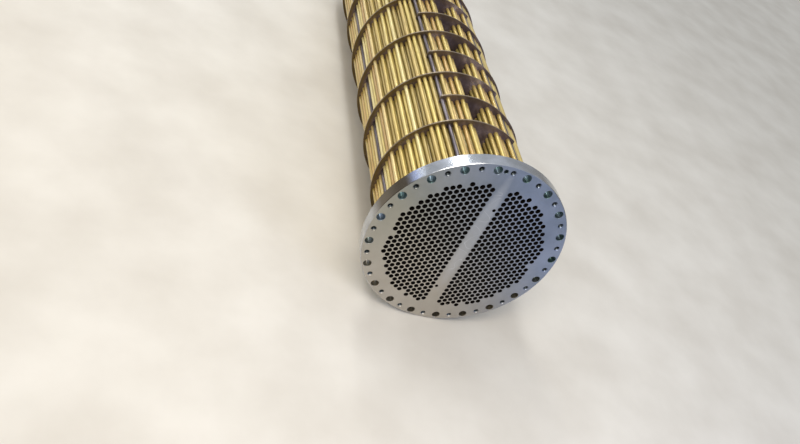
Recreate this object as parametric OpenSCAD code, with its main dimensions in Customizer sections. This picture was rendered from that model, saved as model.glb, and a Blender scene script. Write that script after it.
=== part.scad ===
// Removable U-tube bundle of a shell and tube heat exchanger.
// The origin is the centre of the tube sheet's channel face. The tubes run along +Y,
// +Z is up, and the pass lane between the two tube legs stands upright.

/* [Tube sheet] */
// Outside diameter of the tube sheet
sheet_od = 756; // [746:2:800]
// Thickness of the tube sheet
sheet_thickness = 52; // [44:1:70]
// Width of the chamfer on both rim edges
rim_chamfer = 2; // [1:0.5:3]
// Diameter of the low boss on the rear that centres the sheet in the shell's flange
boss_od = 632; // [630:1:650]
// Height of that boss above the shell's gasket face
boss_height = 2; // [1:0.5:4]
// Diameter of the circle that carries the bolt holes and tapped holes
bolt_circle = 710; // [700:1:714]
// Number of through bolt holes, with a tapped hole between each pair
bolt_count = 20; // [16:4:20]
// Diameter of a through bolt hole
bolt_hole = 30; // [22:1:33]
// Core diameter of a tapped hole on the bolt circle
tapped_hole = 17.5; // [14:0.5:21]
// Depth of a tapped hole on the bolt circle
tapped_depth = 36; // [24:1:40]
// Diameter of the dowel hole
dowel_hole = 15; // [10:0.5:15]
// Angle of the dowel hole from the top of the bolt circle, in degrees
dowel_angle = 4.4; // [4.2:0.1:4.6]
// Core diameter of the two tapped holes in the pass lane
lane_hole = 10.2; // [6:0.1:12]
// Depth of the two tapped holes in the pass lane
lane_hole_depth = 24; // [12:1:30]
// Distance of each lane hole from the middle of the lane
lane_hole_x = 15; // [10:0.5:17]
// Height of each lane hole above or below the centre
lane_hole_z = 198; // [150:1:260]

/* [Tubes] */
// Outside diameter of a tube
tube_od = 16; // [14:0.5:17]
// Wall thickness of a tube
tube_wall = 1; // [0.8:0.1:2]
// Distance between neighbouring tubes, on a triangular pitch
tube_pitch = 22; // [20:0.5:23]
// Width of the pass lane, between the tube centres beside it
lane_pitch = 69; // [64:1:76]
// Radius of the field in which tube centres lie
tube_field_radius = 298; // [288:0.5:300]
// Straight length of tube between the last baffle and the bends
bend_clearance = 40; // [20:1:80]
// Gap round a tube in its tube sheet hole
sheet_hole_gap = 0.1; // [0.05:0.01:0.3]
// Gap round a tube in its baffle hole
baffle_hole_gap = 0.2; // [0.1:0.05:0.4]

/* [Baffles] */
// Outside diameter of a baffle
baffle_od = 624; // [620:2:640]
// Thickness of a baffle plate
baffle_thickness = 6; // [4:1:10]
// Distance from the channel face to the first baffle
first_baffle = 345; // [250:1:400]
// Distance from one baffle to the next
baffle_spacing = 162; // [120:1:190]

/* [Tie rods] */
// Column of tubes that gives up its outermost spots to tie rods, counted from the lane
rod_column = 5; // [3:2:7]
// Diameter of a tie rod
rod_d = 12; // [8:0.5:12.5]
// Depth that a tie rod is screwed into the tube sheet
rod_depth = 24; // [12:1:30]
// Outside diameter of a spacer tube
spacer_od = 16; // [15:0.5:17]
// Gap between a tie rod and the spacers and baffle holes round it
rod_gap = 0.3; // [0.1:0.05:0.5]
// Width across the flats of a tie rod nut
nut_width = 18; // [16:0.5:19]
// Height of a tie rod nut
nut_height = 10; // [8:0.5:14]
// Length of tie rod that stands out of its nut
rod_end = 6; // [3:0.5:12]

/* [Hidden] */
$fn = 48;
BAFFLES = 13;
TUBE_NODES = 14;

// Slack by which a cut runs past the plate that it cuts
through = 1;
// Rear face of the boss, on which the first spacers stand
boss_face = sheet_thickness + boss_height;
baffle_r = baffle_od / 2;
bolt_step = 360 / bolt_count;
tube_hole_r = tube_od / 2 + sheet_hole_gap;
baffle_hole_r = tube_od / 2 + baffle_hole_gap;
rod_hole_r = rod_d / 2 + rod_gap;
column_step = tube_pitch * sin(60);
// Where the straight legs end and the bends start
tangent = baffle_y(BAFFLES) + baffle_thickness + bend_clearance;
// The edge of each baffle window runs midway between two columns of tubes
window_x = column_x(rod_column) + column_step / 2;
last_column = floor((tube_field_radius - lane_pitch / 2) / column_step);
// The outermost column that has a spot on the level centre line
side_column = last_column - (last_column + 1) % 2;
// A rod beside the lane and one at the side, as [x, z] and its last baffle
lane_rod = [column_x(rod_column), column_top(rod_column)];
side_rod = [column_x(side_column), 0];

// A node's name with its number in two figures
function numbered(name, k) = str(name, "_", k < 10 ? "0" : "", k);

// Distance of a column of tubes from the middle of the lane
function column_x(i) = lane_pitch / 2 + i * column_step;

// Columns next to each other are set off by half a pitch in height
function column_shift(i) = i % 2 == 0 ? tube_pitch / 2 : 0;

// Height of the outermost spot of a column within the tube field
function column_top(i) =
    let (reach = sqrt(pow(tube_field_radius, 2) - pow(column_x(i), 2)))
    column_shift(i) + tube_pitch * floor((reach - column_shift(i)) / tube_pitch);

// Whether a spot of the tube pattern is taken by a tie rod
function is_rod(i, z) =
    (i == rod_column && abs(z) > lane_rod[1] - 1) || (i == side_column && abs(z) < 1);

// Heights of the tubes in a column
function column_tubes(i) = [
    for (z = [-column_top(i) : tube_pitch : column_top(i) + 1])
        if (!is_rod(i, z)) z
];

// Columns whose tubes are in one node, where the last node also takes any further column
function node_columns(k) = k < TUBE_NODES ? [k - 1] : [for (i = [k - 1 : 1 : last_column]) i];

// Near face of a baffle
function baffle_y(k) = first_baffle + (k - 1) * baffle_spacing;

// Odd baffles cover the -X side and even ones the +X side
function baffle_side(k) = k % 2 == 1 ? -1 : 1;

// The last baffle that covers a side
function last_on(side) = baffle_side(BAFFLES) == side ? BAFFLES : BAFFLES - 1;

// A flat outline in X and Z made into a plate from y to y + thickness
module plate(y, thickness) {
    translate([0, y + thickness, 0]) rotate([90, 0, 0])
        linear_extrude(thickness) children();
}

// A cylinder along Y from y to y + length, at [x, z]
module bar(spot, y, length, radius) {
    translate([spot[0], y + length, spot[1]]) rotate([90, 0, 0])
        cylinder(h = length, r = radius);
}

// Every tube hole of one side, as flat circles
module tube_spots(side, radius) {
    for (i = [0 : last_column], z = column_tubes(i))
        translate([side * column_x(i), z]) circle(r = radius);
}

// Spots of the four tie rods that pass through every baffle
module at_lane_rods() {
    for (sx = [-1, 1], sz = [-1, 1])
        translate([sx * lane_rod[0], 0, sz * lane_rod[1]]) children();
}

module tube_sheet() {
    color("silver") difference() {
        rotate([-90, 0, 0]) rotate_extrude() polygon([
            [0, 0],
            [sheet_od / 2 - rim_chamfer, 0],
            [sheet_od / 2, rim_chamfer],
            [sheet_od / 2, sheet_thickness - rim_chamfer],
            [sheet_od / 2 - rim_chamfer, sheet_thickness],
            [boss_od / 2, sheet_thickness],
            [boss_od / 2, boss_face],
            [0, boss_face]
        ]);
        plate(-through, boss_face + 2 * through) {
            tube_spots(-1, tube_hole_r);
            tube_spots(1, tube_hole_r);
            for (k = [0 : bolt_count - 1])
                rotate((k + 0.5) * bolt_step) translate([0, bolt_circle / 2]) circle(d = bolt_hole);
            rotate(dowel_angle) translate([0, bolt_circle / 2]) circle(d = dowel_hole);
        }
        plate(-through, tapped_depth + through)
            for (k = [0 : bolt_count - 1])
                rotate(k * bolt_step) translate([0, bolt_circle / 2]) circle(d = tapped_hole);
        for (side = [-1, 1])
            bar([side * lane_hole_x, side * lane_hole_z], -through, lane_hole_depth + through, lane_hole / 2);
        at_lane_rods() bar([0, 0], boss_face - rod_depth, rod_depth + through, rod_d / 2);
        for (side = [-1, 1])
            bar([side * side_rod[0], 0], boss_face - rod_depth, rod_depth + through, rod_d / 2);
    }
}

// A round plate with one side cut off past the tie rods beside the lane
module baffle(k) {
    side = baffle_side(k);
    color("dimgray") plate(baffle_y(k), baffle_thickness) difference() {
        intersection() {
            circle(r = baffle_r, $fn = 180);
            translate([side > 0 ? -window_x : -baffle_r - through, -baffle_od])
                square([baffle_r + window_x + through, 2 * baffle_od]);
        }
        tube_spots(side, baffle_hole_r);
        for (i = [0 : rod_column], z = column_tubes(i))
            translate([-side * column_x(i), z]) circle(r = baffle_hole_r);
        for (sx = [-1, 1], sz = [-1, 1])
            translate([sx * lane_rod[0], sz * lane_rod[1]]) circle(r = rod_hole_r);
        translate([side * side_rod[0], 0]) circle(r = rod_hole_r);
    }
}

// The cut end of a tube, as a flat ring
module tube_ring() {
    difference() {
        circle(d = tube_od);
        circle(d = tube_od - 2 * tube_wall);
    }
}

// Every tube with one bend radius, one above another: straight legs, and half rings round one axis
module u_tubes(k) {
    color("darkkhaki") for (i = node_columns(k)) {
        plate(0, tangent) for (side = [-1, 1], z = column_tubes(i))
            translate([side * column_x(i), z]) tube_ring();
        translate([0, tangent, 0]) rotate_extrude(angle = 180)
            for (z = column_tubes(i)) translate([column_x(i), z]) tube_ring();
    }
}

// From the blind hole in the tube sheet to past the nut behind the last baffle
module tie_rod(last) {
    start = boss_face - rod_depth;
    end = baffle_y(last) + baffle_thickness + nut_height + rod_end;
    bar([0, 0], start, end - start, rod_d / 2);
}

module tie_rods() {
    color("gray") {
        at_lane_rods() tie_rod(BAFFLES);
        for (side = [-1, 1]) translate([side * side_rod[0], 0, 0]) tie_rod(last_on(side));
    }
}

// A spacer tube that fills the space from y to end round a tie rod
module spacer(y, end) {
    difference() {
        bar([0, 0], y, end - y, spacer_od / 2);
        bar([0, 0], y - through, end - y + 2 * through, rod_hole_r);
    }
}

module spacers_beside_lane() {
    color("slategray") at_lane_rods() {
        spacer(boss_face, baffle_y(1));
        for (k = [2 : BAFFLES]) spacer(baffle_y(k - 1) + baffle_thickness, baffle_y(k));
    }
}

// The side rods pass every second baffle, so their spacers span two spaces
module spacers_at_sides() {
    color("slategray") for (side = [-1, 1]) translate([side * side_rod[0], 0, 0]) {
        first = side < 0 ? 1 : 2;
        spacer(boss_face, baffle_y(first));
        for (k = [first + 2 : 2 : last_on(side)])
            spacer(baffle_y(k - 2) + baffle_thickness, baffle_y(k));
    }
}

// A hexagon nut, with its flats along X, against the last baffle on its rod
module nut(last) {
    y = baffle_y(last) + baffle_thickness;
    translate([0, y + nut_height, 0]) rotate([90, 0, 0]) difference() {
        cylinder(h = nut_height, d = nut_width / cos(30), $fn = 6);
        translate([0, 0, -through]) cylinder(h = nut_height + 2 * through, d = rod_d);
    }
}

module tie_rod_nuts() {
    color("gray") {
        at_lane_rods() nut(BAFFLES);
        for (side = [-1, 1]) translate([side * side_rod[0], 0, 0]) nut(last_on(side));
    }
}

tube_sheet();
for (k = [1 : BAFFLES]) baffle(k);
for (k = [1 : TUBE_NODES]) u_tubes(k);
tie_rods();
spacers_beside_lane();
spacers_at_sides();
tie_rod_nuts();
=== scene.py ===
# The U-tube bundle of a shell and tube heat exchanger, lying on a pale studio floor. Each section
# below is one piece of it: the tube sheet that carries the bundle, its tubes, the baffles that
# hold the tubes apart, and then the rods, spacers and nuts that hold the baffles.
import math
import random

import bpy
from mathutils import Matrix, Vector, geometry


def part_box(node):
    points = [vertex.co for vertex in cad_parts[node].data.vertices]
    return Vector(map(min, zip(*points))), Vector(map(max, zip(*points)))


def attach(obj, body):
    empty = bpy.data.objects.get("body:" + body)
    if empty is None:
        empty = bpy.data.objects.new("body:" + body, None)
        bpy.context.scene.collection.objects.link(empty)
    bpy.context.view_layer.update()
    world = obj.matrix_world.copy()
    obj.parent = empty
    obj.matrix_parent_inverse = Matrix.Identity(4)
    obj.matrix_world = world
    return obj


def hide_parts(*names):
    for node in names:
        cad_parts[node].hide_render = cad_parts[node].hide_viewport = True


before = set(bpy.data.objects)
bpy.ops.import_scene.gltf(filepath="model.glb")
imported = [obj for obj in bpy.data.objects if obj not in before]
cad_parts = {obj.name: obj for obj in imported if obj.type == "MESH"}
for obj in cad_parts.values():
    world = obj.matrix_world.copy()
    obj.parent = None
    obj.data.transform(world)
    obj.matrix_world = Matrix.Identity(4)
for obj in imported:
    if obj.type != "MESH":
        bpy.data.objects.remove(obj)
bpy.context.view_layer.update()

# The camera. A phone held up at 1.8 m, a step to the left of the tube sheet, looking down the
# bundle and turned on its side by about a third of a right angle. Its picture is the upper middle
# of the phone's whole frame, which is why the lens is shifted up.
CAMERA_PLACE = Vector((-1.086, -1.756, 1.394))
CAMERA_HEADING = math.radians(30.97)
CAMERA_DIP = math.radians(45.09)
CAMERA_ROLL = math.radians(32.62)
SENSOR_MM = 36.0
LENS_MM = 30.11
SHIFT_ACROSS = 0.0165
SHIFT_UP = 0.168

camera_data = bpy.data.cameras.new("camera")
camera_data.sensor_width = SENSOR_MM
camera_data.lens = LENS_MM
camera_data.shift_x = SHIFT_ACROSS
camera_data.shift_y = SHIFT_UP
camera = bpy.data.objects.new("camera", camera_data)
camera.matrix_world = (
    Matrix.Translation(CAMERA_PLACE)
    @ Matrix.Rotation(-CAMERA_HEADING, 4, "Z")
    @ Matrix.Rotation(math.pi / 2 - CAMERA_DIP, 4, "X")
    @ Matrix.Rotation(CAMERA_ROLL, 4, "Z")
)
bpy.context.scene.collection.objects.link(camera)
bpy.context.scene.camera = camera


# The floor and the light. A floor of pale painted concrete, laid so that the rim of the tube
# sheet and the last baffle rest on it. Two lamps hang over the bundle and one over the floor in
# front of it, two stand on its left, and blue sky light comes in from the front and the far left.
def linear(hex_colour):
    """An sRGB colour such as "#c8b273" as linear red, green, blue and alpha."""
    parts = [int(hex_colour[i:i + 2], 16) / 255 for i in (1, 3, 5)]
    return [p / 12.92 if p <= 0.04045 else ((p + 0.055) / 1.055) ** 2.4 for p in parts] + [1.0]


def add(tree, kind, sockets=None, stops=None, **settings):
    """Adds a shader node. A socket takes a value or another node's output, and a ramp its stops."""
    node = tree.nodes.new("ShaderNode" + kind)
    for name, value in settings.items():
        setattr(node, name, value)
    for name, value in (sockets or {}).items():
        if isinstance(value, bpy.types.NodeSocket):
            tree.links.new(value, node.inputs[name])
        else:
            node.inputs[name].default_value = value
    if stops:
        for element, (place, colour) in zip(node.color_ramp.elements, (stops[0], stops[-1])):
            element.position, element.color = place, linear(colour)
        for place, colour in stops[1:-1]:
            node.color_ramp.elements.new(place).color = linear(colour)
    return node


def new_material(name):
    """An empty material with its node tree, and the object's own coordinates to draw by."""
    material = bpy.data.materials.new(name)
    material.use_nodes = True
    tree = material.node_tree
    tree.nodes.clear()
    return material, tree, add(tree, "TexCoord").outputs["Object"]


def finish_material(tree, sockets):
    """Puts the one surface shader in, with these sockets, and links it to the output."""
    shader = add(tree, "BsdfPrincipled", sockets)
    output = tree.nodes.new("ShaderNodeOutputMaterial")
    tree.links.new(shader.outputs["BSDF"], output.inputs["Surface"])


MM = 0.001
SHEET_REAR = 52.0 * MM
FLOOR_REACH = 14.0
BAFFLES = 13
sheet_low, sheet_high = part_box("tube_sheet")
last_low, last_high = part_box(f"baffle_{BAFFLES}")
floor_slope = (last_low[2] - sheet_low[2]) / (last_high[1] - SHEET_REAR)


def floor_height(y):
    """The floor under the bundle, which touches the sheet's rear edge and the last baffle."""
    return sheet_low[2] + floor_slope * (y - SHEET_REAR)


# Painted concrete: matt and warm white, a little darker where it is worn, in patches of 333 mm.
painted_concrete, tree, place = new_material("painted_concrete")
wear = add(tree, "TexNoise", {"Vector": place, "Scale": 1 / (333 * MM), "Detail": 6.0})
tone = add(tree, "ValToRGB", {"Fac": wear.outputs["Fac"]}, stops=((0.3, "#cac5bb"), (0.7, "#d8d4cb")))
finish_material(tree, {"Base Color": tone.outputs["Color"], "Roughness": 0.75})

floor_mesh = bpy.data.meshes.new("floor")
floor_corners = [
    (x * FLOOR_REACH, y * FLOOR_REACH, floor_height(y * FLOOR_REACH))
    for x, y in ((-1, -1), (1, -1), (1, 1), (-1, 1))
]
floor_mesh.from_pydata(floor_corners, [], [(0, 1, 2, 3)])
floor_mesh.materials.append(painted_concrete)
floor = bpy.data.objects.new("floor", floor_mesh)
bpy.context.scene.collection.objects.link(floor)

# The walls of the studio are grey at eye level and pale above, and polished metal shows them.
WALL_LIGHT = 0.95
WALL_AS_SEEN = 0.92
SHADE_ON_THE_RIGHT = 0.58
world = bpy.data.worlds.new("studio")
bpy.context.scene.world = world
world.use_nodes = True
tree = world.node_tree
tree.nodes.clear()
way = add(tree, "SeparateXYZ", {"Vector": add(tree, "TexCoord").outputs["Generated"]})
wall = add(tree, "ValToRGB", {"Fac": way.outputs["Z"]}, stops=((0.0, "#bbb7b0"), (0.5, "#eef1f6")))
# The walls on the right are in shade, for light and for reflections. The camera sees all alike.
path = add(tree, "LightPath")
not_camera = add(tree, "Math", {0: 1.0, 1: path.outputs["Is Camera Ray"]}, operation="SUBTRACT")
shade = add(tree, "MapRange", {
    "Value": way.outputs["X"],
    "From Min": 0.0, "From Max": 0.8, "To Min": 1.0, "To Max": SHADE_ON_THE_RIGHT,
})
wall = add(tree, "MixRGB", {
    "Fac": not_camera.outputs[0],
    "Color1": wall.outputs["Color"], "Color2": shade.outputs["Result"],
}, blend_type="MULTIPLY")
seen = add(tree, "Math", {
    0: path.outputs["Is Camera Ray"], 1: path.outputs["Is Glossy Ray"],
}, operation="MAXIMUM")
light = add(tree, "Background", {"Color": wall.outputs["Color"], "Strength": WALL_LIGHT})
backdrop = add(tree, "Background", {"Color": wall.outputs["Color"], "Strength": WALL_AS_SEEN})
mix = add(tree, "MixShader", {0: seen.outputs[0], 1: light.outputs[0], 2: backdrop.outputs[0]})
world_output = tree.nodes.new("ShaderNodeOutputWorld")
tree.links.new(mix.outputs[0], world_output.inputs["Surface"])


def soft_lamp(name, place, aim, along, width, length, watts, colour):
    """A rectangular area lamp that faces a point, with its length along the direction given."""
    lamp = bpy.data.lights.new(name, "AREA")
    lamp.shape = "RECTANGLE"
    lamp.size = width
    lamp.size_y = length
    lamp.energy = watts
    lamp.color = linear(colour)[:3]
    holder = bpy.data.objects.new(name, lamp)
    ahead = (Vector(aim) - Vector(place)).normalized()
    side = ahead.cross(Vector(along)).normalized()
    turned = Matrix((side, side.cross(ahead), -ahead)).transposed()
    holder.matrix_world = Matrix.Translation(place) @ turned.to_4x4()
    holder.visible_camera = False
    bpy.context.scene.collection.objects.link(holder)


ACROSS, ALONG_THE_BUNDLE, UPRIGHT = (1, 0, 0), (0, 1, 0), (0, 0, 1)
soft_lamp(
    "long_lamp_over_the_left", place=(-0.92, 2.6, 2.8), aim=(0, 1.6, 0),
    along=ALONG_THE_BUNDLE, width=0.4, length=3.6, watts=46, colour="#ffffff",
)
soft_lamp(
    "lamp_over_the_right", place=(2.3, 0.6, 3.0), aim=(0, 0.8, 0),
    along=ALONG_THE_BUNDLE, width=2.0, length=2.4, watts=5, colour="#fff8ee",
)
soft_lamp(
    "sky_light_from_the_front", place=(1.9, -2.9, 1.7), aim=(0.5, -0.4, -0.4),
    along=UPRIGHT, width=1.6, length=1.4, watts=30, colour="#bccfff",
)
soft_lamp(
    "lamp_over_the_front_floor", place=(-1.0, -1.6, 2.6), aim=(-0.1, -0.5, -0.4),
    along=ACROSS, width=1.2, length=1.6, watts=52, colour="#fff3e2",
)
soft_lamp(
    "warm_light_on_the_left", place=(-2.9, 1.0, 1.0), aim=(0, 0.8, 0),
    along=ALONG_THE_BUNDLE, width=0.9, length=2.4, watts=11, colour="#ffe9c0",
)
soft_lamp(
    "strip_far_behind_on_the_left", place=(-2.5, 4.8, 1.3), aim=(0, 4.4, 0),
    along=ALONG_THE_BUNDLE, width=0.35, length=2.4, watts=11, colour="#e8eef6",
)
soft_lamp(
    "sky_light_from_the_far_left", place=(-2.9, 3.4, 1.15), aim=(0, 0.6, 0),
    along=UPRIGHT, width=0.45, length=0.5, watts=2.2, colour="#9fbcff",
)


# The tube sheet. A round forged plate of carbon steel, faced and turned on a lathe, then drilled:
# through holes for the shell's bolts, tapped holes for studs, a reamed dowel hole, two tapped
# holes in the undrilled lane, and one hole for each tube end, broken at its edge.
SHEET_RADIUS = sheet_high[0]
BOSS_FACE = sheet_high[1]
BOSS_RADIUS = 316.0 * MM
BOSS_BREAK = 0.5 * MM
RIM_CHAMFER = 2.0 * MM
RIM_STEPS = 256
BOLT_CIRCLE_R = 355.0 * MM
BOLTS = 20
BOLT_HOLE = {"radius": 15.0 * MM, "chamfer": 1.0 * MM, "sides": 40}
DOWEL_HOLE = {"radius": 7.5 * MM, "chamfer": 0.8 * MM, "sides": 28}
DOWEL_ANGLE = math.radians(4.4)
STUD_HOLE = {"core": 8.75 * MM, "pitch": 2.5 * MM, "depth": 36.0 * MM, "sides": 18}
LANE_HOLE = {"core": 5.1 * MM, "pitch": 1.75 * MM, "depth": 24.0 * MM, "sides": 16}
LANE_HOLE_X = 15.0 * MM
LANE_HOLE_Z = 198.0 * MM
TUBE_HOLE = {"radius": 8.1 * MM, "chamfer": 1.2 * MM, "sides": 20}
TUBE_PITCH = 22.0 * MM
COLUMN_STEP = TUBE_PITCH * math.sin(math.radians(60))
LANE_HALF = 34.5 * MM
FIELD_RADIUS = 298.0 * MM
ROD_R = 6.0 * MM
ROD_DEPTH = 24.0 * MM
ROD_HOLE_SIDES = 18
ROD_COLUMN = 5
SIDE_COLUMN = 13


def column_x(i):
    """Distance of a column of tubes from the middle of the lane."""
    return LANE_HALF + i * COLUMN_STEP


def column_heights(i):
    """Every spot of a column, the tie rods' spots included."""
    shift = TUBE_PITCH / 2 if i % 2 == 0 else 0.0
    reach = math.sqrt(FIELD_RADIUS ** 2 - column_x(i) ** 2)
    top = shift + TUBE_PITCH * math.floor((reach - shift) / TUBE_PITCH)
    return [-top + k * TUBE_PITCH for k in range(round(2 * top / TUBE_PITCH) + 1)]


def is_rod(i, height):
    """Whether a tie rod takes this spot: the ends of one column and the middle of the outermost."""
    if i == ROD_COLUMN:
        return abs(height) > max(column_heights(i)) - MM
    return i == SIDE_COLUMN and abs(height) < MM


def tube_spots(i):
    """Heights of the tubes in a column."""
    return [z for z in column_heights(i) if not is_rod(i, z)]


rod_spots = [
    (side * column_x(i), z)
    for side in (-1, 1)
    for i in (ROD_COLUMN, SIDE_COLUMN)
    for z in column_heights(i) if is_rod(i, z)
]


def circle(x, z, y, radius, sides):
    """Points of a circle that stands across Y, going clockwise for an eye that looks along +Y."""
    turns = [math.tau * k / sides for k in range(sides)]
    return [(x + radius * math.sin(t), y, z + radius * math.cos(t)) for t in turns]


# Edges sharper than this many degrees stay sharp. A flat face is filled only within its outline,
# and points closer than SAME_POINT count as one.
CREASE = 35
KEEP_WITHIN_OUTLINE = 1
SAME_POINT = 1e-7


class Skin:
    """Collects the points and faces of one piece, ring by ring, with a material number a face."""

    def __init__(self):
        self.points, self.faces, self.kinds = [], [], []

    def ring(self, points):
        """Adds a closed ring of points and gives their numbers."""
        start = len(self.points)
        self.points += points
        return list(range(start, len(self.points)))

    def wall(self, a, b, kind=0):
        """Joins two rings of equal count. The rings go clockwise along the way from a to b."""
        for k in range(len(a)):
            n = (k + 1) % len(a)
            self.faces.append((a[k], a[n], b[n], b[k]))
            self.kinds.append(kind)

    def cap(self, a, kind=0):
        """Closes a ring with one flat face."""
        self.faces.append(tuple(a))
        self.kinds.append(kind)

    def fill(self, loops, kind, forward):
        """Fills a flat face across Y between its outline, the first loop, and the holes' loops."""
        numbers = [n for loop in loops for n in loop]
        owner = [k for k, loop in enumerate(loops) for n in loop]
        flat = [Vector((self.points[n][0], self.points[n][2])) for n in numbers]
        edges = []
        for loop in loops:
            start = len(edges)
            edges += [(start + k, start + (k + 1) % len(loop)) for k in range(len(loop))]
        cut = geometry.delaunay_2d_cdt(flat, edges, [], KEEP_WITHIN_OUTLINE, SAME_POINT)
        for triangle in cut[2]:
            owners = {owner[n] for n in triangle}
            if len(owners) == 1 and 0 not in owners:
                continue
            a, b, c = (flat[n] for n in triangle)
            turn = (b - a).cross(c - a)
            corners = tuple(numbers[n] for n in triangle)
            self.faces.append(corners if (turn < 0) == forward else corners[::-1])
            self.kinds.append(kind)

    def piece(self, name, materials, crease=CREASE):
        """Makes the object. It shades smooth, but for creases sharper than so many degrees."""
        mesh = bpy.data.meshes.new(name)
        mesh.from_pydata(self.points, [], self.faces)
        for material in materials:
            mesh.materials.append(material)
        mesh.polygons.foreach_set("material_index", self.kinds)
        mesh.polygons.foreach_set("use_smooth", [True] * len(self.faces))
        mesh.set_sharp_from_angle(angle=math.radians(crease))
        thing = bpy.data.objects.new(name, mesh)
        bpy.context.scene.collection.objects.link(thing)
        return thing


FACE, RIM, BORE, TUBE_BORE, THREAD = 0, 1, 2, 3, 4
sheet = Skin()
rim_rings = [
    sheet.ring(circle(0, 0, y, radius, RIM_STEPS))
    for radius, y in (
        (SHEET_RADIUS - RIM_CHAMFER, 0),
        (SHEET_RADIUS, RIM_CHAMFER),
        (SHEET_RADIUS, SHEET_REAR - RIM_CHAMFER),
        (SHEET_RADIUS - RIM_CHAMFER, SHEET_REAR),
    )
]
# On the rear a low boss of the tube field's size centres the sheet in the shell's flange.
boss_rings = [
    sheet.ring(circle(0, 0, y, radius, RIM_STEPS))
    for radius, y in (
        (BOSS_RADIUS, SHEET_REAR),
        (BOSS_RADIUS, BOSS_FACE - BOSS_BREAK),
        (BOSS_RADIUS - BOSS_BREAK, BOSS_FACE),
    )
]
for rings in (rim_rings, boss_rings):
    for a, b in zip(rings, rings[1:]):
        sheet.wall(a, b, RIM)
front_loops = [rim_rings[0]]
gasket_loops = [rim_rings[-1], boss_rings[0]]
boss_loops = [boss_rings[-1]]


def through_hole(x, z, rear, rear_loops, radius, chamfer, sides, kind=BORE):
    """A drilled hole from the front face to a rear face, with its edges broken on both."""
    rings = [
        sheet.ring(circle(x, z, y, r, sides))
        for r, y in (
            (radius + chamfer, 0), (radius, chamfer),
            (radius, rear - chamfer), (radius + chamfer, rear),
        )
    ]
    for a, b in zip(rings, rings[1:]):
        sheet.wall(b, a, kind)
    front_loops.append(rings[0])
    rear_loops.append(rings[-1])


def thread_ring(x, z, y, core, groove, pitch, sides):
    """A ring across a thread: its radius runs from the core out by a groove and back each pitch."""
    points = []
    for k in range(sides):
        phase = (y / pitch - k / sides) % 1.0
        radius = core + groove * (1 - abs(2 * phase - 1))
        turn = math.tau * k / sides
        points.append((x + radius * math.sin(turn), y, z + radius * math.cos(turn)))
    return points


# A thread's groove is as deep as this share of its pitch, and its countersink as wide and deep as
# so many grooves. The first few rows of a hole still shine like the face.
GROOVE_SHARE = 0.54
COUNTERSINK = 1.6
THREAD_STEPS = 4
LIP_ROWS = 3


def tapped_hole(x, z, core, pitch, depth, sides, lip=FACE, flank=THREAD):
    """A blind hole with a countersink and the grooves of its thread."""
    groove = GROOVE_SHARE * pitch
    last = sheet.ring(circle(x, z, 0, core + COUNTERSINK * groove, sides))
    front_loops.append(last)
    for row in range(int(THREAD_STEPS * (depth - groove) / pitch)):
        y = COUNTERSINK * groove + row * pitch / THREAD_STEPS
        current = sheet.ring(thread_ring(x, z, y, core, groove, pitch, sides))
        sheet.wall(current, last, lip if row < LIP_ROWS else flank)
        last = current
    end = sheet.ring(circle(x, z, depth, core, sides))
    sheet.wall(end, last, flank)
    sheet.cap(end[::-1], flank)


def on_bolt_circle(turn):
    """The spot at this turn of the bolt circle, clockwise from the top."""
    return BOLT_CIRCLE_R * math.sin(turn), BOLT_CIRCLE_R * math.cos(turn)


for k in range(BOLTS):
    through_hole(*on_bolt_circle(math.tau * (k + 0.5) / BOLTS), SHEET_REAR, gasket_loops, **BOLT_HOLE)
    tapped_hole(*on_bolt_circle(math.tau * k / BOLTS), **STUD_HOLE)
through_hole(*on_bolt_circle(-DOWEL_ANGLE), SHEET_REAR, gasket_loops, **DOWEL_HOLE)
# The lane's two tapped holes take the tube bores' near black: painted shade.
for side in (-1, 1):
    tapped_hole(side * LANE_HOLE_X, side * LANE_HOLE_Z, lip=TUBE_BORE, flank=TUBE_BORE, **LANE_HOLE)
# The tube holes' walls and broken edges are painted near black: painted shade.
for i in range(SIDE_COLUMN + 1):
    for z in tube_spots(i):
        for side in (-1, 1):
            through_hole(side * column_x(i), z, BOSS_FACE, boss_loops, kind=TUBE_BORE, **TUBE_HOLE)
for x, z in rod_spots:
    mouth = sheet.ring(circle(x, z, BOSS_FACE, ROD_R, ROD_HOLE_SIDES))
    end = sheet.ring(circle(x, z, BOSS_FACE - ROD_DEPTH, ROD_R, ROD_HOLE_SIDES))
    sheet.wall(mouth, end, BORE)
    sheet.cap(end, BORE)
    boss_loops.append(mouth)
sheet.fill(front_loops, FACE, forward=False)
sheet.fill(gasket_loops, FACE, forward=True)
sheet.fill(boss_loops, FACE, forward=True)

# Faced steel: a satin grey with fine concentric tool marks, in smudges of 200 mm. Painted reflections
# turn it blue towards the upper right and a lighter warm grey towards the bottom.
faced_steel, tree, place = new_material("faced_steel")
spot = add(tree, "SeparateXYZ", {"Vector": place})
across = add(tree, "CombineXYZ", {"X": spot.outputs["X"], "Y": spot.outputs["Z"]})
radius = add(tree, "VectorMath", {0: across.outputs["Vector"]}, operation="LENGTH")
# The tool's feed is about 0.3 mm a turn; its marks are drawn at 2 mm so that they show.
feeds = add(tree, "Math", {0: radius.outputs["Value"], 1: 1 / (2 * MM)}, operation="MULTIPLY")
marks = add(tree, "TexNoise", {
    "W": feeds.outputs["Value"], "Scale": 1.0, "Detail": 2.0,
}, noise_dimensions="1D")
smudge = add(tree, "TexNoise", {
    "Vector": place, "Scale": 1 / (200 * MM), "Detail": 5.0, "Roughness": 0.6,
})
# The warm and the blue ramps are painted reflections; the grey one is the steel's own colour.
face_grey, painted_warm_reflection, painted_blue_reflection = (
    add(tree, "ValToRGB", {"Fac": smudge.outputs["Fac"]}, stops=((0.34, dark), (0.68, pale)))
    for dark, pale in (("#929489", "#a0a096"), ("#bab5ac", "#c6c2bb"), ("#7b88a0", "#909cb8"))
)
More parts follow.
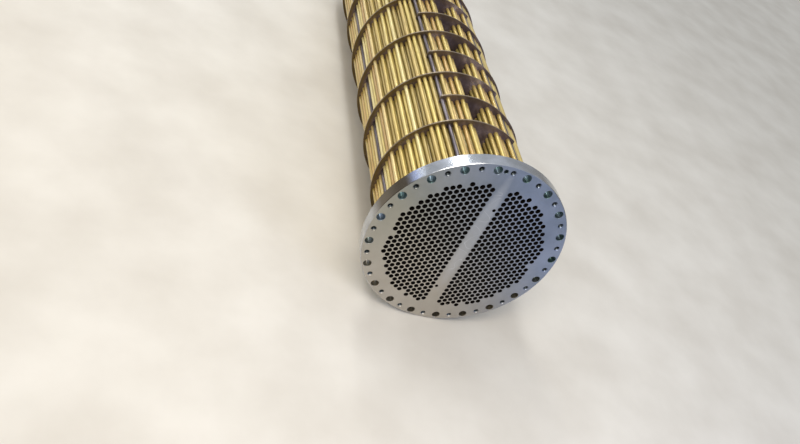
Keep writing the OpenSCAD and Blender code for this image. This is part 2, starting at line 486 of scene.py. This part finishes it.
# Painted reflection: lighter and warm towards the bottom.
drop = add(tree, "MapRange", {"Value": spot.outputs["Z"], "From Min": 220 * MM, "From Max": -200 * MM})
face_with_warm_reflection = add(tree, "MixRGB", {
    "Fac": drop.outputs["Result"],
    "Color1": face_grey.outputs["Color"], "Color2": painted_warm_reflection.outputs["Color"],
})
# Painted reflection: blue towards the upper right.
UPPER_RIGHT = (0.75, 0.0, 0.66)
rise = add(tree, "VectorMath", {0: place, 1: UPPER_RIGHT}, operation="DOT_PRODUCT")
toward = add(tree, "MapRange", {
    "Value": rise.outputs["Value"], "From Min": -160 * MM, "From Max": 260 * MM,
})
face_with_painted_reflections = add(tree, "MixRGB", {
    "Fac": toward.outputs["Result"],
    "Color1": face_with_warm_reflection.outputs["Color"], "Color2": painted_blue_reflection.outputs["Color"],
})
# The bare lane is lighter in a patch ten times as high as it is wide, whose middle lies 80 mm above
# the sheet's: a painted sheen, with pale scratches on it.
off_lane = add(tree, "Mapping", {
    "Vector": place, "Location": (0.0, 0.0, -80 * MM), "Scale": (10.0, 0.0, 1.0),
})
reach = add(tree, "VectorMath", {0: off_lane.outputs["Vector"]}, operation="LENGTH")
lane = add(tree, "MapRange", {
    "Value": reach.outputs["Value"], "From Min": 290 * MM, "From Max": 180 * MM,
})
# Pale scratches run in curls of some 60 mm, along the lines where a noise is at its middle value.
curl = add(tree, "TexNoise", {
    "Vector": place, "Scale": 1 / (58.8 * MM), "Detail": 0.0, "Distortion": 0.6,
})
level = add(tree, "Math", {0: curl.outputs["Fac"], 1: 0.5}, operation="SUBTRACT")
off_line = add(tree, "Math", {0: level.outputs[0]}, operation="ABSOLUTE")
# Off the scratches the lane still pales a little: that part is painted sheen.
scratches_and_sheen = add(tree, "MapRange", {
    "Value": off_line.outputs[0],
    "From Min": 0.009, "From Max": 0.0, "To Min": 0.24, "To Max": 0.78,
})
# Pale scratches on a painted sheen, within the lane's patch.
rubbed = add(tree, "Math", {
    0: scratches_and_sheen.outputs["Result"], 1: lane.outputs["Result"],
}, operation="MULTIPLY")
tone = add(tree, "MixRGB", {
    "Fac": rubbed.outputs[0], "Color1": face_with_painted_reflections.outputs["Color"], "Color2": linear("#dde1ea"),
})
gloss = add(tree, "MapRange", {
    "Value": smudge.outputs["Fac"],
    "From Min": 0.3, "From Max": 0.7, "To Min": 0.42, "To Max": 0.34,
})
relief = add(tree, "Bump", {"Strength": 0.06, "Distance": 0.4 * MM, "Height": marks.outputs["Fac"]})
finish_material(tree, {
    "Base Color": tone.outputs["Color"], "Metallic": 1.0,
    "Roughness": gloss.outputs["Result"], "Normal": relief.outputs["Normal"],
})

# Turned rim: turned finer than the face, so that it mirrors the lamps in streaks, and hazy in
# patches of about 70 mm.
turned_rim, tree, place = new_material("turned_rim")
spot = add(tree, "SeparateXYZ", {"Vector": place})
# Its turning marks of about 0.2 mm are drawn at 1.54 mm.
feeds = add(tree, "Math", {0: spot.outputs["Y"], 1: 1 / (1.54 * MM)}, operation="MULTIPLY")
marks = add(tree, "TexNoise", {
    "W": feeds.outputs["Value"], "Scale": 1.0, "Detail": 3.0,
}, noise_dimensions="1D")
haze = add(tree, "TexNoise", {"Vector": place, "Scale": 1 / (71.4 * MM), "Detail": 4.0})
bright = add(tree, "ValToRGB", {
    "Fac": haze.outputs["Fac"],
}, stops=((0.35, "#a9adb2"), (0.65, "#c6cad2")))
# A painted dark reflection lies on the upper left of the rim, round this direction from the middle.
DARK_REFLECTION_SIDE = (-0.914, 0.0, 0.407)
tint_mask = add(tree, "VectorMath", {0: place, 1: DARK_REFLECTION_SIDE}, operation="DOT_PRODUCT")
painted_dark_reflection = add(tree, "MapRange", {
    "Value": tint_mask.outputs["Value"],
    "From Min": 358 * MM, "From Max": 374 * MM, "To Min": 0.0, "To Max": 0.92,
})
# Painted dark reflection: the rim turns dark brown there.
tone = add(tree, "MixRGB", {
    "Fac": painted_dark_reflection.outputs["Result"], "Color1": bright.outputs["Color"], "Color2": linear("#594e3c"),
})
relief = add(tree, "Bump", {"Strength": 0.22, "Distance": 0.4 * MM, "Height": marks.outputs["Fac"]})
finish_material(tree, {
    "Base Color": tone.outputs["Color"], "Metallic": 1.0, "Roughness": 0.19,
    "Normal": relief.outputs["Normal"],
})

# Bored steel: smooth walls with a blue-green cast in patches of about 45 mm. Low on the sheet a
# painted reflection turns them a dull grey-brown.
bored_steel, tree, place = new_material("bored_steel")
tint_mask = add(tree, "TexNoise", {"Vector": place, "Scale": 1 / (45.5 * MM), "Detail": 3.0})
tone = add(tree, "ValToRGB", {
    "Fac": tint_mask.outputs["Fac"],
}, stops=((0.36, "#48625e"), (0.5, "#5d7074"), (0.64, "#74808e")))
height = add(tree, "SeparateXYZ", {"Vector": place})
# Painted reflection: grey-brown towards the bottom of the sheet.
low_painted_reflection = add(tree, "MapRange", {
    "Value": height.outputs["Z"], "From Min": 20 * MM, "From Max": -200 * MM,
})
walls_with_painted_reflection = add(tree, "MixRGB", {
    "Fac": low_painted_reflection.outputs["Result"], "Color1": tone.outputs["Color"], "Color2": linear("#8c8577"),
})
finish_material(tree, {"Base Color": walls_with_painted_reflection.outputs["Color"], "Metallic": 0.85, "Roughness": 0.34})

# Cut thread: its grooves hold dark tapping oil and fine swarf, in clots of about 17 mm, and its dark
# colour is also painted shade, for grooves in the shade of their own crests.
cut_thread, tree, place = new_material("cut_thread")
swarf_and_shade = add(tree, "TexNoise", {"Vector": place, "Scale": 1 / (16.7 * MM), "Detail": 3.0})
tone = add(tree, "ValToRGB", {
    "Fac": swarf_and_shade.outputs["Fac"],
}, stops=((0.35, "#2c3130"), (0.65, "#5a6268")))
finish_material(tree, {"Base Color": tone.outputs["Color"], "Metallic": 1.0, "Roughness": 0.35})

# Painted shade bore: the tube holes, and the tubes inside, are painted near black as the shade deep
# in the bores, so that the mouths look black, a little lighter in spots of about 11 mm.
painted_shade_bore, tree, place = new_material("painted_shade_bore")
shade_mottle = add(tree, "TexNoise", {"Vector": place, "Scale": 1 / (11.1 * MM), "Detail": 2.0})
tone = add(tree, "ValToRGB", {"Fac": shade_mottle.outputs["Fac"]}, stops=((0.3, "#080606"), (0.7, "#15100d")))
finish_material(tree, {
    "Base Color": tone.outputs["Color"], "Roughness": 0.85, "Specular IOR Level": 0.1,
})

tube_sheet = sheet.piece(
    "tube_sheet_turned", [faced_steel, turned_rim, bored_steel, painted_shade_bore, cut_thread],
)
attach(tube_sheet, "root")
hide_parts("tube_sheet")


# The U-tubes. Drawn brass tube of 16 mm with a 1 mm wall, each bent once and pushed in from the
# rear: two legs through the baffles, their ends rolled into the tube sheet a little below its face.
TUBE_R = 8.0 * MM
TUBE_WALL = 1.0 * MM
TUBE_RECESS = 3.0 * MM
BEND_CLEARANCE = 40.0 * MM
BOW = 0.9 * MM
HELD_WITHIN = 5.0 * MM
# A mouth is drawn hollow for as far as the eye can reach into it.
MOUTH_DEPTH = 150.0 * MM
OUTSIDE, INSIDE = 0, 1
baffle_boxes = [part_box(f"baffle_{k:02d}") for k in range(1, BAFFLES + 1)]
baffle_places = [(low[1] + high[1]) / 2 for low, high in baffle_boxes]
bend_start = last_high[1] + BEND_CLEARANCE
# Only the tubes in the outer two rows or so show along their length. They bow, and are drawn
# finer than the rest.
OUTER_ROWS = 2.2
OUTER_SIDES, OUTER_BEND_STEPS = 16, 24
INNER_SIDES, INNER_BEND_STEPS = 12, 16
SEED = 11
random.seed(SEED)


def leg_stops():
    """Where a leg's rings stand: at each baffle and midway between supports."""
    stops, last = [], BOSS_FACE
    for y in baffle_places:
        stops += [(last + y) / 2, y]
        last = y
    return stops


def sway(y):
    """A tube bows a little between the baffles, and is held straight in them."""
    if min(abs(y - p) for p in baffle_places + [TUBE_RECESS]) < HELD_WITHIN:
        return Vector((0, 0, 0))
    return Vector((random.uniform(-BOW, BOW), 0, random.uniform(-BOW, BOW)))


def add_u_tube(skin, bend_r, z, sides, bend_steps, bowed):
    """One tube, from one mouth along its leg, round the half ring and back to the other mouth."""
    turns = [math.tau * k / sides for k in range(sides)]

    def across(centre, outward, radius):
        """A ring across the tube, from its outer side."""
        return skin.ring([
            centre + outward * (radius * math.cos(t)) + Vector((0, 0, radius * math.sin(t)))
            for t in turns
        ])

    left, right = Vector((-1, 0, 0)), Vector((1, 0, 0))
    stops = [TUBE_RECESS] + (leg_stops() if bowed else [])
    bore = TUBE_R - TUBE_WALL
    rings = [across(Vector((-bend_r, y, z)), left, bore) for y in (MOUTH_DEPTH, TUBE_RECESS)]
    rings += [across(Vector((-bend_r, y, z)) + sway(y), left, TUBE_R) for y in stops]
    for k in range(bend_steps + 1):
        turn = math.pi * k / bend_steps
        outward = Vector((-math.cos(turn), math.sin(turn), 0))
        rings.append(across(Vector((0, bend_start, z)) + outward * bend_r, outward, TUBE_R))
    rings += [across(Vector((bend_r, y, z)) + sway(y), right, TUBE_R) for y in stops[::-1]]
    rings += [across(Vector((bend_r, y, z)), right, bore) for y in (TUBE_RECESS, MOUTH_DEPTH)]
    # The tube ends and the bores inside are painted near black: painted shade.
    inner = {0, 1, len(rings) - 3, len(rings) - 2}
    for k, (a, b) in enumerate(zip(rings, rings[1:])):
        skin.wall(a, b, INSIDE if k in inner else OUTSIDE)
    skin.cap(rings[0][::-1], INSIDE)
    skin.cap(rings[-1], INSIDE)


# Drawn brass: dull yellow with drawn lines along the tube, from olive to pale gold by tube, and
# browner where the bends were annealed. A film of drawing oil lays pale highlights over it.
drawn_brass, tree, place = new_material("drawn_brass")
shade = add(tree, "Attribute", attribute_name="tone")
batch = add(tree, "ValToRGB", {"Fac": shade.outputs["Fac"]}, stops=(
    (0.0, "#a8924a"), (0.25, "#cab064"), (0.6, "#dac46e"),
    (0.88, "#eadb9c"), (0.96, "#cbaa64"), (1.0, "#b08a58"),
))
# Die lines are finer than a hair; they are drawn 3.85 mm apart and 128 mm long.
DIE_LINE_GAP = 3.85 * MM
DIE_LINE_LENGTH = 128.0 * MM
stretch = add(tree, "Mapping", {"Vector": place, "Scale": (1.0, DIE_LINE_GAP / DIE_LINE_LENGTH, 1.0)})
drawn = add(tree, "TexNoise", {
    "Vector": stretch.outputs["Vector"], "Scale": 1 / DIE_LINE_GAP, "Detail": 3.0,
})
# Tarnish has come up in patches of 167 mm.
stain = add(tree, "TexNoise", {
    "Vector": place, "Scale": 1 / (167 * MM), "Detail": 6.0, "Roughness": 0.65,
})
stained = add(tree, "MapRange", {
    "Value": stain.outputs["Fac"],
    "From Min": 0.48, "From Max": 0.72, "To Min": 0.0, "To Max": 0.35,
})
tarnish = add(tree, "MixRGB", {
    "Fac": stained.outputs["Result"], "Color1": batch.outputs["Color"], "Color2": linear("#8f7636"),
})
spot = add(tree, "SeparateXYZ", {"Vector": place})
annealed = add(tree, "MapRange", {
    "Value": spot.outputs["Y"], "From Min": bend_start - 30 * MM, "From Max": bend_start + 60 * MM,
    "To Min": 0.0, "To Max": 0.4,
})
bent = add(tree, "MixRGB", {
    "Fac": annealed.outputs["Result"],
    "Color1": tarnish.outputs["Color"], "Color2": linear("#8f7c58"),
})
lines = add(tree, "MapRange", {
    "Value": drawn.outputs["Fac"],
    "From Min": 0.3, "From Max": 0.7, "To Min": 0.86, "To Max": 1.04,
})
tone = add(tree, "MixRGB", {
    "Fac": 1.0, "Color1": bent.outputs["Color"], "Color2": lines.outputs["Result"],
}, blend_type="MULTIPLY")
gloss = add(tree, "MapRange", {
    "Value": stain.outputs["Fac"],
    "From Min": 0.3, "From Max": 0.7, "To Min": 0.36, "To Max": 0.48,
})
relief = add(tree, "Bump", {"Strength": 0.05, "Distance": 0.3 * MM, "Height": drawn.outputs["Fac"]})
finish_material(tree, {
    "Base Color": tone.outputs["Color"], "Metallic": 0.55, "Coat Weight": 0.6, "Coat Roughness": 0.24,
    "Roughness": gloss.outputs["Result"], "Normal": relief.outputs["Normal"],
})

for i in range(SIDE_COLUMN + 1):
    skin = Skin()
    tones = []
    for z in tube_spots(i):
        if math.hypot(column_x(i), z) > FIELD_RADIUS - OUTER_ROWS * TUBE_PITCH:
            add_u_tube(skin, column_x(i), z, OUTER_SIDES, OUTER_BEND_STEPS, bowed=True)
        else:
            add_u_tube(skin, column_x(i), z, INNER_SIDES, INNER_BEND_STEPS, bowed=False)
        tones += [random.random()] * (len(skin.points) - len(tones))
    node = f"u_tubes_bend_{i + 1:02d}"
    tubes = skin.piece(node + "_drawn", [drawn_brass, painted_shade_bore])
    tubes.data.attributes.new("tone", "FLOAT", "POINT").data.foreach_set("value", tones)
    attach(tubes, "root")
    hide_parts(node)


# The baffles. Round plates of 6 mm hot-rolled steel with one side sheared off past the tie rods,
# drilled together as a stack. They slide onto the rods. Only their finish is given here.
BAFFLE_R = 312.0 * MM

# Mill scale: a dark violet-grey skin, paler in patches of 143 mm, its palest spots a painted
# reflection, and rubbed to a dull tan on the plate's outer edge.
mill_scale, tree, place = new_material("mill_scale")
patch = add(tree, "TexNoise", {
    "Vector": place, "Scale": 1 / (143 * MM), "Detail": 7.0, "Roughness": 0.65,
})
# The palest stop is a painted reflection.
tone = add(tree, "ValToRGB", {
    "Fac": patch.outputs["Fac"],
}, stops=((0.3, "#3c3438"), (0.47, "#554a50"), (0.57, "#706570"), (0.68, "#aba3b0")))
spot = add(tree, "SeparateXYZ", {"Vector": place})
across = add(tree, "CombineXYZ", {"X": spot.outputs["X"], "Y": spot.outputs["Z"]})
radius = add(tree, "VectorMath", {0: across.outputs["Vector"]}, operation="LENGTH")
# Oil and brass dust have stained the outer ring of each plate olive on its left side.
ring = add(tree, "MapRange", {
    "Value": radius.outputs["Value"], "From Min": 285 * MM, "From Max": 304 * MM,
})
left = add(tree, "MapRange", {
    "Value": spot.outputs["X"],
    "From Min": 60 * MM, "From Max": -200 * MM, "To Min": 0.15, "To Max": 0.85,
})
dyed = add(tree, "Math", {0: ring.outputs["Result"], 1: left.outputs["Result"]}, operation="MULTIPLY")
stained = add(tree, "MixRGB", {
    "Fac": dyed.outputs[0], "Color1": tone.outputs["Color"], "Color2": linear("#64542c"),
})
edge = add(tree, "MapRange", {
    "Value": radius.outputs["Value"],
    "From Min": BAFFLE_R - 1.2 * MM, "From Max": BAFFLE_R - 0.2 * MM,
})
rubbed = add(tree, "MixRGB", {
    "Fac": edge.outputs["Result"], "Color1": stained.outputs["Color"], "Color2": linear("#857763"),
})
gloss = add(tree, "MapRange", {
    "Value": patch.outputs["Fac"],
    "From Min": 0.3, "From Max": 0.7, "To Min": 0.5, "To Max": 0.2,
})
relief = add(tree, "Bump", {"Strength": 0.2, "Distance": 0.6 * MM, "Height": patch.outputs["Fac"]})
finish_material(tree, {
    "Base Color": rubbed.outputs["Color"], "Metallic": 0.55,
    "Roughness": gloss.outputs["Result"], "Normal": relief.outputs["Normal"],
})
for k in range(1, BAFFLES + 1):
    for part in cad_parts[f"baffle_{k:02d}"].material_slots:
        part.material = mill_scale


# The tie rods. Six bars of 12 mm steel, screwed into the sheet's rear, each with a rolled thread
# at its far end, where it comes out of its nut behind the last baffle and ends in a bevel.
ROD_THREAD_PITCH = 1.75 * MM
ROD_THREAD_DEPTH = 0.95 * MM
ROD_THREAD_RUN_IN = 2.0 * MM
NUT_HEIGHT = 10.0 * MM
ROD_PAST_NUT = 6.0 * MM
ROD_BEVEL_LENGTH = 2.0 * MM
ROD_BEVEL_DEPTH = 1.4 * MM
ROD_SIDES = 24


def last_baffle_at(x):
    """The rear face of the last baffle that a rod at x passes through."""
    return max(high[1] for low, high in baffle_boxes if low[0] < x < high[0])


# Drawn steel: dull grey with darker streaks along the bar. Real ones are a few tenths of a
# millimetre wide; they are drawn 8.33 mm wide and 167 mm long.
STREAK_WIDTH = 8.33 * MM
STREAK_LENGTH = 167.0 * MM
drawn_steel, tree, place = new_material("drawn_steel")
stretch = add(tree, "Mapping", {"Vector": place, "Scale": (1.0, STREAK_WIDTH / STREAK_LENGTH, 1.0)})
streak = add(tree, "TexNoise", {
    "Vector": stretch.outputs["Vector"], "Scale": 1 / STREAK_WIDTH, "Detail": 4.0,
})
tone = add(tree, "ValToRGB", {
    "Fac": streak.outputs["Fac"],
}, stops=((0.32, "#4e4749"), (0.5, "#6f676a"), (0.68, "#999194")))
finish_material(tree, {"Base Color": tone.outputs["Color"], "Metallic": 1.0, "Roughness": 0.38})

skin = Skin()
for x, z in rod_spots:
    seat = last_baffle_at(x)
    tip = seat + NUT_HEIGHT + ROD_PAST_NUT
    rings = [
        skin.ring(circle(x, z, y, ROD_R, ROD_SIDES))
        for y in (BOSS_FACE - ROD_DEPTH, seat - ROD_THREAD_RUN_IN)
    ]
    root = ROD_R - ROD_THREAD_DEPTH
    rows = round((tip - ROD_BEVEL_LENGTH - seat) * THREAD_STEPS / ROD_THREAD_PITCH)
    for row in range(rows + 1):
        y = seat + row * ROD_THREAD_PITCH / THREAD_STEPS
        rings.append(skin.ring(
            thread_ring(x, z, y, root, ROD_THREAD_DEPTH, ROD_THREAD_PITCH, ROD_SIDES)
        ))
    rings.append(skin.ring(circle(x, z, tip, ROD_R - ROD_BEVEL_DEPTH, ROD_SIDES)))
    for a, b in zip(rings, rings[1:]):
        skin.wall(a, b)
    skin.cap(rings[0][::-1])
    skin.cap(rings[-1])
rods = skin.piece("tie_rods_threaded", [drawn_steel])
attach(rods, "root")
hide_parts("tie_rods")


# The spacer tubes. Cut lengths of 16 mm steel tube slid onto the rods, which keep the baffles
# apart. Their ends are deburred, and each hangs a little off the middle of its rod.
SPACER_R = 8.0 * MM
SPACER_BORE_R = 6.3 * MM
SPACER_BREAK = 0.6 * MM
SPACER_PLAY = 0.2 * MM
SPACER_SAG = 0.25 * MM
SPACER_SIDES = 24


def spacer_spans(x):
    """The gaps between supports along a rod at x."""
    supports = [(low[1], high[1]) for low, high in baffle_boxes if low[0] < x < high[0]]
    starts = [BOSS_FACE] + [rear for near, rear in supports[:-1]]
    return zip(starts, [near for near, rear in supports])


for node, spots in (
    ("spacers_beside_lane", [s for s in rod_spots if s[1] != 0]),
    ("spacers_at_sides", [s for s in rod_spots if s[1] == 0]),
):
    skin = Skin()
    for x, z in spots:
        for start, end in spacer_spans(x):
            aside = random.uniform(-SPACER_PLAY, SPACER_PLAY)
            rings = [
                skin.ring(circle(x + aside, z - SPACER_SAG, y, r, SPACER_SIDES))
                for y, r in (
                    (start, SPACER_BORE_R),
                    (start, SPACER_R - SPACER_BREAK),
                    (start + SPACER_BREAK, SPACER_R),
                    (end - SPACER_BREAK, SPACER_R),
                    (end, SPACER_R - SPACER_BREAK),
                    (end, SPACER_BORE_R),
                )
            ]
            for a, b in zip(rings, rings[1:] + rings[:1]):
                skin.wall(a, b)
    spacers = skin.piece(node + "_deburred", [drawn_steel])
    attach(spacers, "root")
    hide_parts(node)


# The nuts. Hexagon nuts of 18 mm across flats, chamfered on both ends, which hold the stack of
# spacers and baffles tight. They are plain steel, a little brighter than the rods.
NUT_FLATS = 18.0 * MM
NUT_FACE_R = 8.6 * MM
NUT_STEPS = 48
NUT_LIP_WIDTH = 0.7 * MM
NUT_LIP_DEPTH = 0.6 * MM
NUT_CREASE = 20
CHAMFER_RISE = math.tan(math.radians(30))
SIXTH_OF_A_TURN = math.tau / 6


def hexagon_radius(turn):
    """Distance from a nut's axis to its side, with flats on the left and right."""
    return NUT_FLATS / 2 / math.cos(turn % SIXTH_OF_A_TURN - SIXTH_OF_A_TURN / 2)


# Plain steel: a clean satin grey, with finger smudges of about 9 mm.
plain_steel, tree, place = new_material("plain_steel")
smudge = add(tree, "TexNoise", {"Vector": place, "Scale": 1 / (9.1 * MM), "Detail": 4.0})
tone = add(tree, "ValToRGB", {
    "Fac": smudge.outputs["Fac"],
}, stops=((0.35, "#77757a"), (0.65, "#a5a4a8")))
finish_material(tree, {"Base Color": tone.outputs["Color"], "Metallic": 1.0, "Roughness": 0.34})

skin = Skin()
turns = [math.tau * k / NUT_STEPS for k in range(NUT_STEPS)]
radii = [hexagon_radius(t) for t in turns]
for x, z in rod_spots:
    seat = last_baffle_at(x)
    top = seat + NUT_HEIGHT
    rings = []
    for end, inward in ((seat, 1), (top, -1)):
        flat_end = [(NUT_FACE_R, end) for t in turns]
        corner = [(r, end + inward * (r - NUT_FACE_R) * CHAMFER_RISE) for r in radii]
        for profile in (flat_end, corner)[::inward]:
            rings.append(skin.ring([
                (x + r * math.sin(t), y, z + r * math.cos(t)) for t, (r, y) in zip(turns, profile)
            ]))
    for y, r in ((top, ROD_R + NUT_LIP_WIDTH), (top - NUT_LIP_DEPTH, ROD_R), (seat, ROD_R)):
        rings.append(skin.ring(circle(x, z, y, r, NUT_STEPS)))
    for a, b in zip(rings, rings[1:] + rings[:1]):
        skin.wall(a, b)
nuts = skin.piece("tie_rod_nuts_chamfered", [plain_steel], crease=NUT_CREASE)
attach(nuts, "root")
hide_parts("tie_rod_nuts")


bpy.context.scene.view_settings.view_transform = "Standard"
